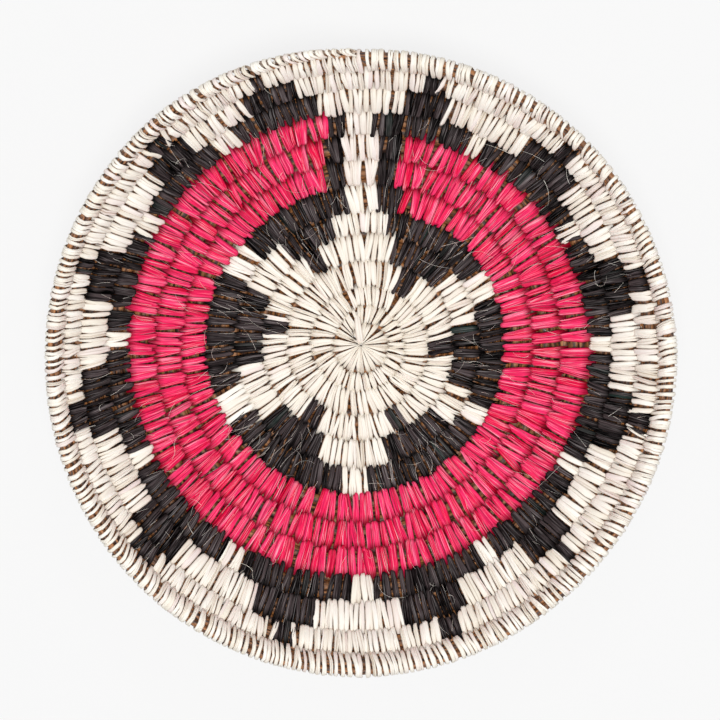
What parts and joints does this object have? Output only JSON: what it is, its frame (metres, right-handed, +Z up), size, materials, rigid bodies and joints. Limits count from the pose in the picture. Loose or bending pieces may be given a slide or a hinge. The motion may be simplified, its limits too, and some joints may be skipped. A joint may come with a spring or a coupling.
{
  "type": "coiled ceremonial basket",
  "caption": "Shallow round bowl coiled over wooden rods and sewn with undyed, black and red splints: a light star, red rings and black stepped peaks, crossed by a light doorway.",
  "frame": {"origin": "on the surface the basket stands on, under the middle of its outline", "axes": "+Z up out of the bowl's mouth, +Y towards the doorway (the light gap in the coloured rings), +X to the right seen from above with the doorway away from the viewer"},
  "size_m": [0.303, 0.304, 0.0692],
  "materials": {
    "natural_splint": "matt undyed split shoots",
    "black_splint": "matt dyed split shoots",
    "red_splint": "satin dyed split shoots",
    "rod_wood": "peeled rods, matt"
  },
  "bodies": {
    "root": {"start_curl_natural_splint": "natural_splint", "row_01_natural_splint": "natural_splint", "row_02_natural_splint": "natural_splint", "row_03_natural_splint": "natural_splint", "row_03_black_splint": "black_splint", "row_04_natural_splint": "natural_splint", "row_04_black_splint": "black_splint", "row_05_natural_splint": "natural_splint", "row_05_black_splint": "black_splint", "row_06_red_splint": "red_splint", "row_07_red_splint": "red_splint", "row_08_red_splint": "red_splint", "doorway_06_07_natural_splint": "natural_splint", "doorway_06_07_black_splint": "black_splint", "doorway_07_08_natural_splint": "natural_splint", "doorway_07_08_black_splint": "black_splint", "row_09_natural_splint": "natural_splint", "row_09_black_splint": "black_splint", "row_10_natural_splint": "natural_splint", "row_10_black_splint": "black_splint", "row_11_natural_splint": "natural_splint", "row_11_black_splint": "black_splint", "row_12_rim_natural_splint": "natural_splint", "foundation_rod_1": "rod_wood", "foundation_rod_2": "rod_wood", "foundation_rod_3": "rod_wood"}
  },
  "joints": []
}
